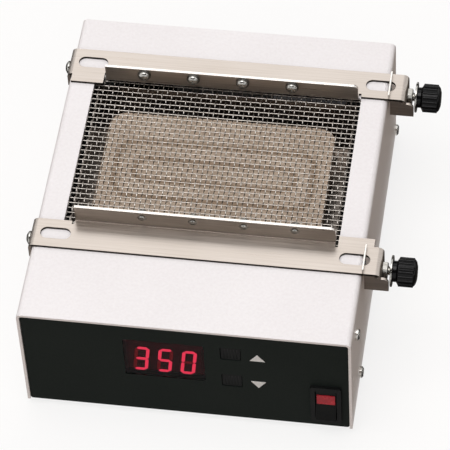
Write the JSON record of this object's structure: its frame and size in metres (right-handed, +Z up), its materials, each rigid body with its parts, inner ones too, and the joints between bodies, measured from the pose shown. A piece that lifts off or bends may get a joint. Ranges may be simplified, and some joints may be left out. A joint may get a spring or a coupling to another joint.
{
  "type": "circuit board preheater",
  "caption": "Benchtop preheater for circuit boards: white sheet-metal case, ceramic heater under woven wire, and sliding steel board rails held by thumb screws.",
  "frame": {"origin": "middle of the whole outline at the floor, under the feet", "axes": "+Z up, -Y out of the control panel, +X towards the thumb screw knobs"},
  "size_m": [0.204, 0.212, 0.0888],
  "materials": {
    "white_paint": "powder coat, slight texture",
    "grey_paint": "powder coat",
    "black_paint": "matt lacquer",
    "zinc_steel": "bright zinc plate",
    "wire_steel": "woven wire, dulled by heat",
    "stainless_sheet": "brushed along its length",
    "bright_aluminium": "bright rolled",
    "spring_steel": "plain",
    "nickel_wire": "nickel plate",
    "brass": "plain",
    "core_steel": "varnished stack",
    "black_rubber": "matt",
    "black_plastic": "fine texture",
    "knob_plastic": "satin moulding",
    "red_plastic": "clear red moulding",
    "red_lens": "dark tinted sheet",
    "lit_red": "lit",
    "grey_print": "printed",
    "board_green": "solder mask",
    "coil_tape": "wound tape",
    "beige_ceramic": "fine unglazed",
    "white_ceramic": "unglazed"
  },
  "bodies": {
    "housing": {"case_cover": "white_paint", "base_pan": "grey_paint", "front_panel": "black_paint", "panel_nuts": "zinc_steel", "feet": "black_rubber", "foot_screws": "zinc_steel", "cover_screws": "zinc_steel", "guard_mesh": "wire_steel", "mesh_frame": "zinc_steel", "reflector_tray": "bright_aluminium", "tray_posts": "zinc_steel", "tray_screws": "zinc_steel", "ceramic_heater": "beige_ceramic", "heater_clip": "spring_steel", "heater_leads": "nickel_wire", "terminal_block": "white_ceramic", "terminal_screws": "brass", "control_board": "board_green", "board_posts": "brass", "board_screws": "zinc_steel", "display_module": "black_plastic", "display_window": "red_lens", "display_segments": "lit_red", "tact_switches": "black_plastic", "arrow_marks": "grey_print", "switch_frame": "black_plastic", "switch_tabs": "brass", "power_inlet": "black_plastic", "inlet_pins": "nickel_wire", "inlet_screws": "zinc_steel", "transformer_core": "core_steel", "transformer_coil": "coil_tape", "heat_sink": "bright_aluminium", "earth_stud": "brass"},
    "up_key": {"up_button": "black_plastic"},
    "down_key": {"down_button": "black_plastic"},
    "power_rocker": {"rocker": "black_plastic", "rocker_lens": "red_plastic"},
    "rear_board_rail": {"rear_rail": "stainless_sheet", "rear_support_screws": "zinc_steel", "rear_support_washers": "zinc_steel", "rear_hook_rivet": "zinc_steel", "rear_nut": "zinc_steel"},
    "rear_clamp": {"rear_pressure_plate": "stainless_sheet", "rear_clamp_washer": "zinc_steel"},
    "rear_thumb_screw": {"rear_clamp_screw": "zinc_steel", "rear_knob": "knob_plastic"},
    "front_board_rail": {"front_rail": "stainless_sheet", "front_support_screws": "zinc_steel", "front_support_washers": "zinc_steel", "front_hook_rivet": "zinc_steel", "front_nut": "zinc_steel"},
    "front_clamp": {"front_pressure_plate": "stainless_sheet", "front_clamp_washer": "zinc_steel"},
    "front_thumb_screw": {"front_clamp_screw": "zinc_steel", "front_knob": "knob_plastic"}
  },
  "joints": [
    {"name": "rear_rail_slide", "type": "slide", "parent": "housing", "child": "rear_board_rail", "axis": [0, 1, 0], "range_m": [-0.044, 0.02]},
    {"name": "rear_clamp_slide", "type": "slide", "parent": "rear_board_rail", "child": "rear_clamp", "axis": [1, 0, 0], "range_m": [0, 0.0012]},
    {"name": "rear_knob_turn", "type": "hinge", "parent": "rear_clamp", "child": "rear_thumb_screw", "pos_m": [0.08837, 0.069, 0.0714], "axis": [1, 0, 0], "range_deg": [0, 540]},
    {"name": "front_rail_slide", "type": "slide", "parent": "housing", "child": "front_board_rail", "axis": [0, 1, 0], "range_m": [-0.04, 0.044]},
    {"name": "front_clamp_slide", "type": "slide", "parent": "front_board_rail", "child": "front_clamp", "axis": [1, 0, 0], "range_m": [0, 0.0012]},
    {"name": "front_knob_turn", "type": "hinge", "parent": "front_clamp", "child": "front_thumb_screw", "pos_m": [0.08837, -0.04929, 0.0714], "axis": [1, 0, 0], "range_deg": [0, 540]},
    {"name": "up_key_press", "type": "slide", "parent": "housing", "child": "up_key", "axis": [0, 1, 0], "range_m": [0, 0.0008], "stiffness_N_per_m": 400},
    {"name": "down_key_press", "type": "slide", "parent": "housing", "child": "down_key", "axis": [0, 1, 0], "range_m": [0, 0.0008], "stiffness_N_per_m": 400},
    {"name": "power_rocker_tilt", "type": "hinge", "parent": "housing", "child": "power_rocker", "pos_m": [0.06067, -0.10064, 0.0239], "axis": [1, 0, 0], "range_deg": [0, 14]}
  ],
  "couplings": [
    {"joint": "rear_knob_turn", "follows": "rear_clamp_slide", "rad_per_m": 7853.9},
    {"joint": "front_knob_turn", "follows": "front_clamp_slide", "rad_per_m": 7853.9}
  ]
}
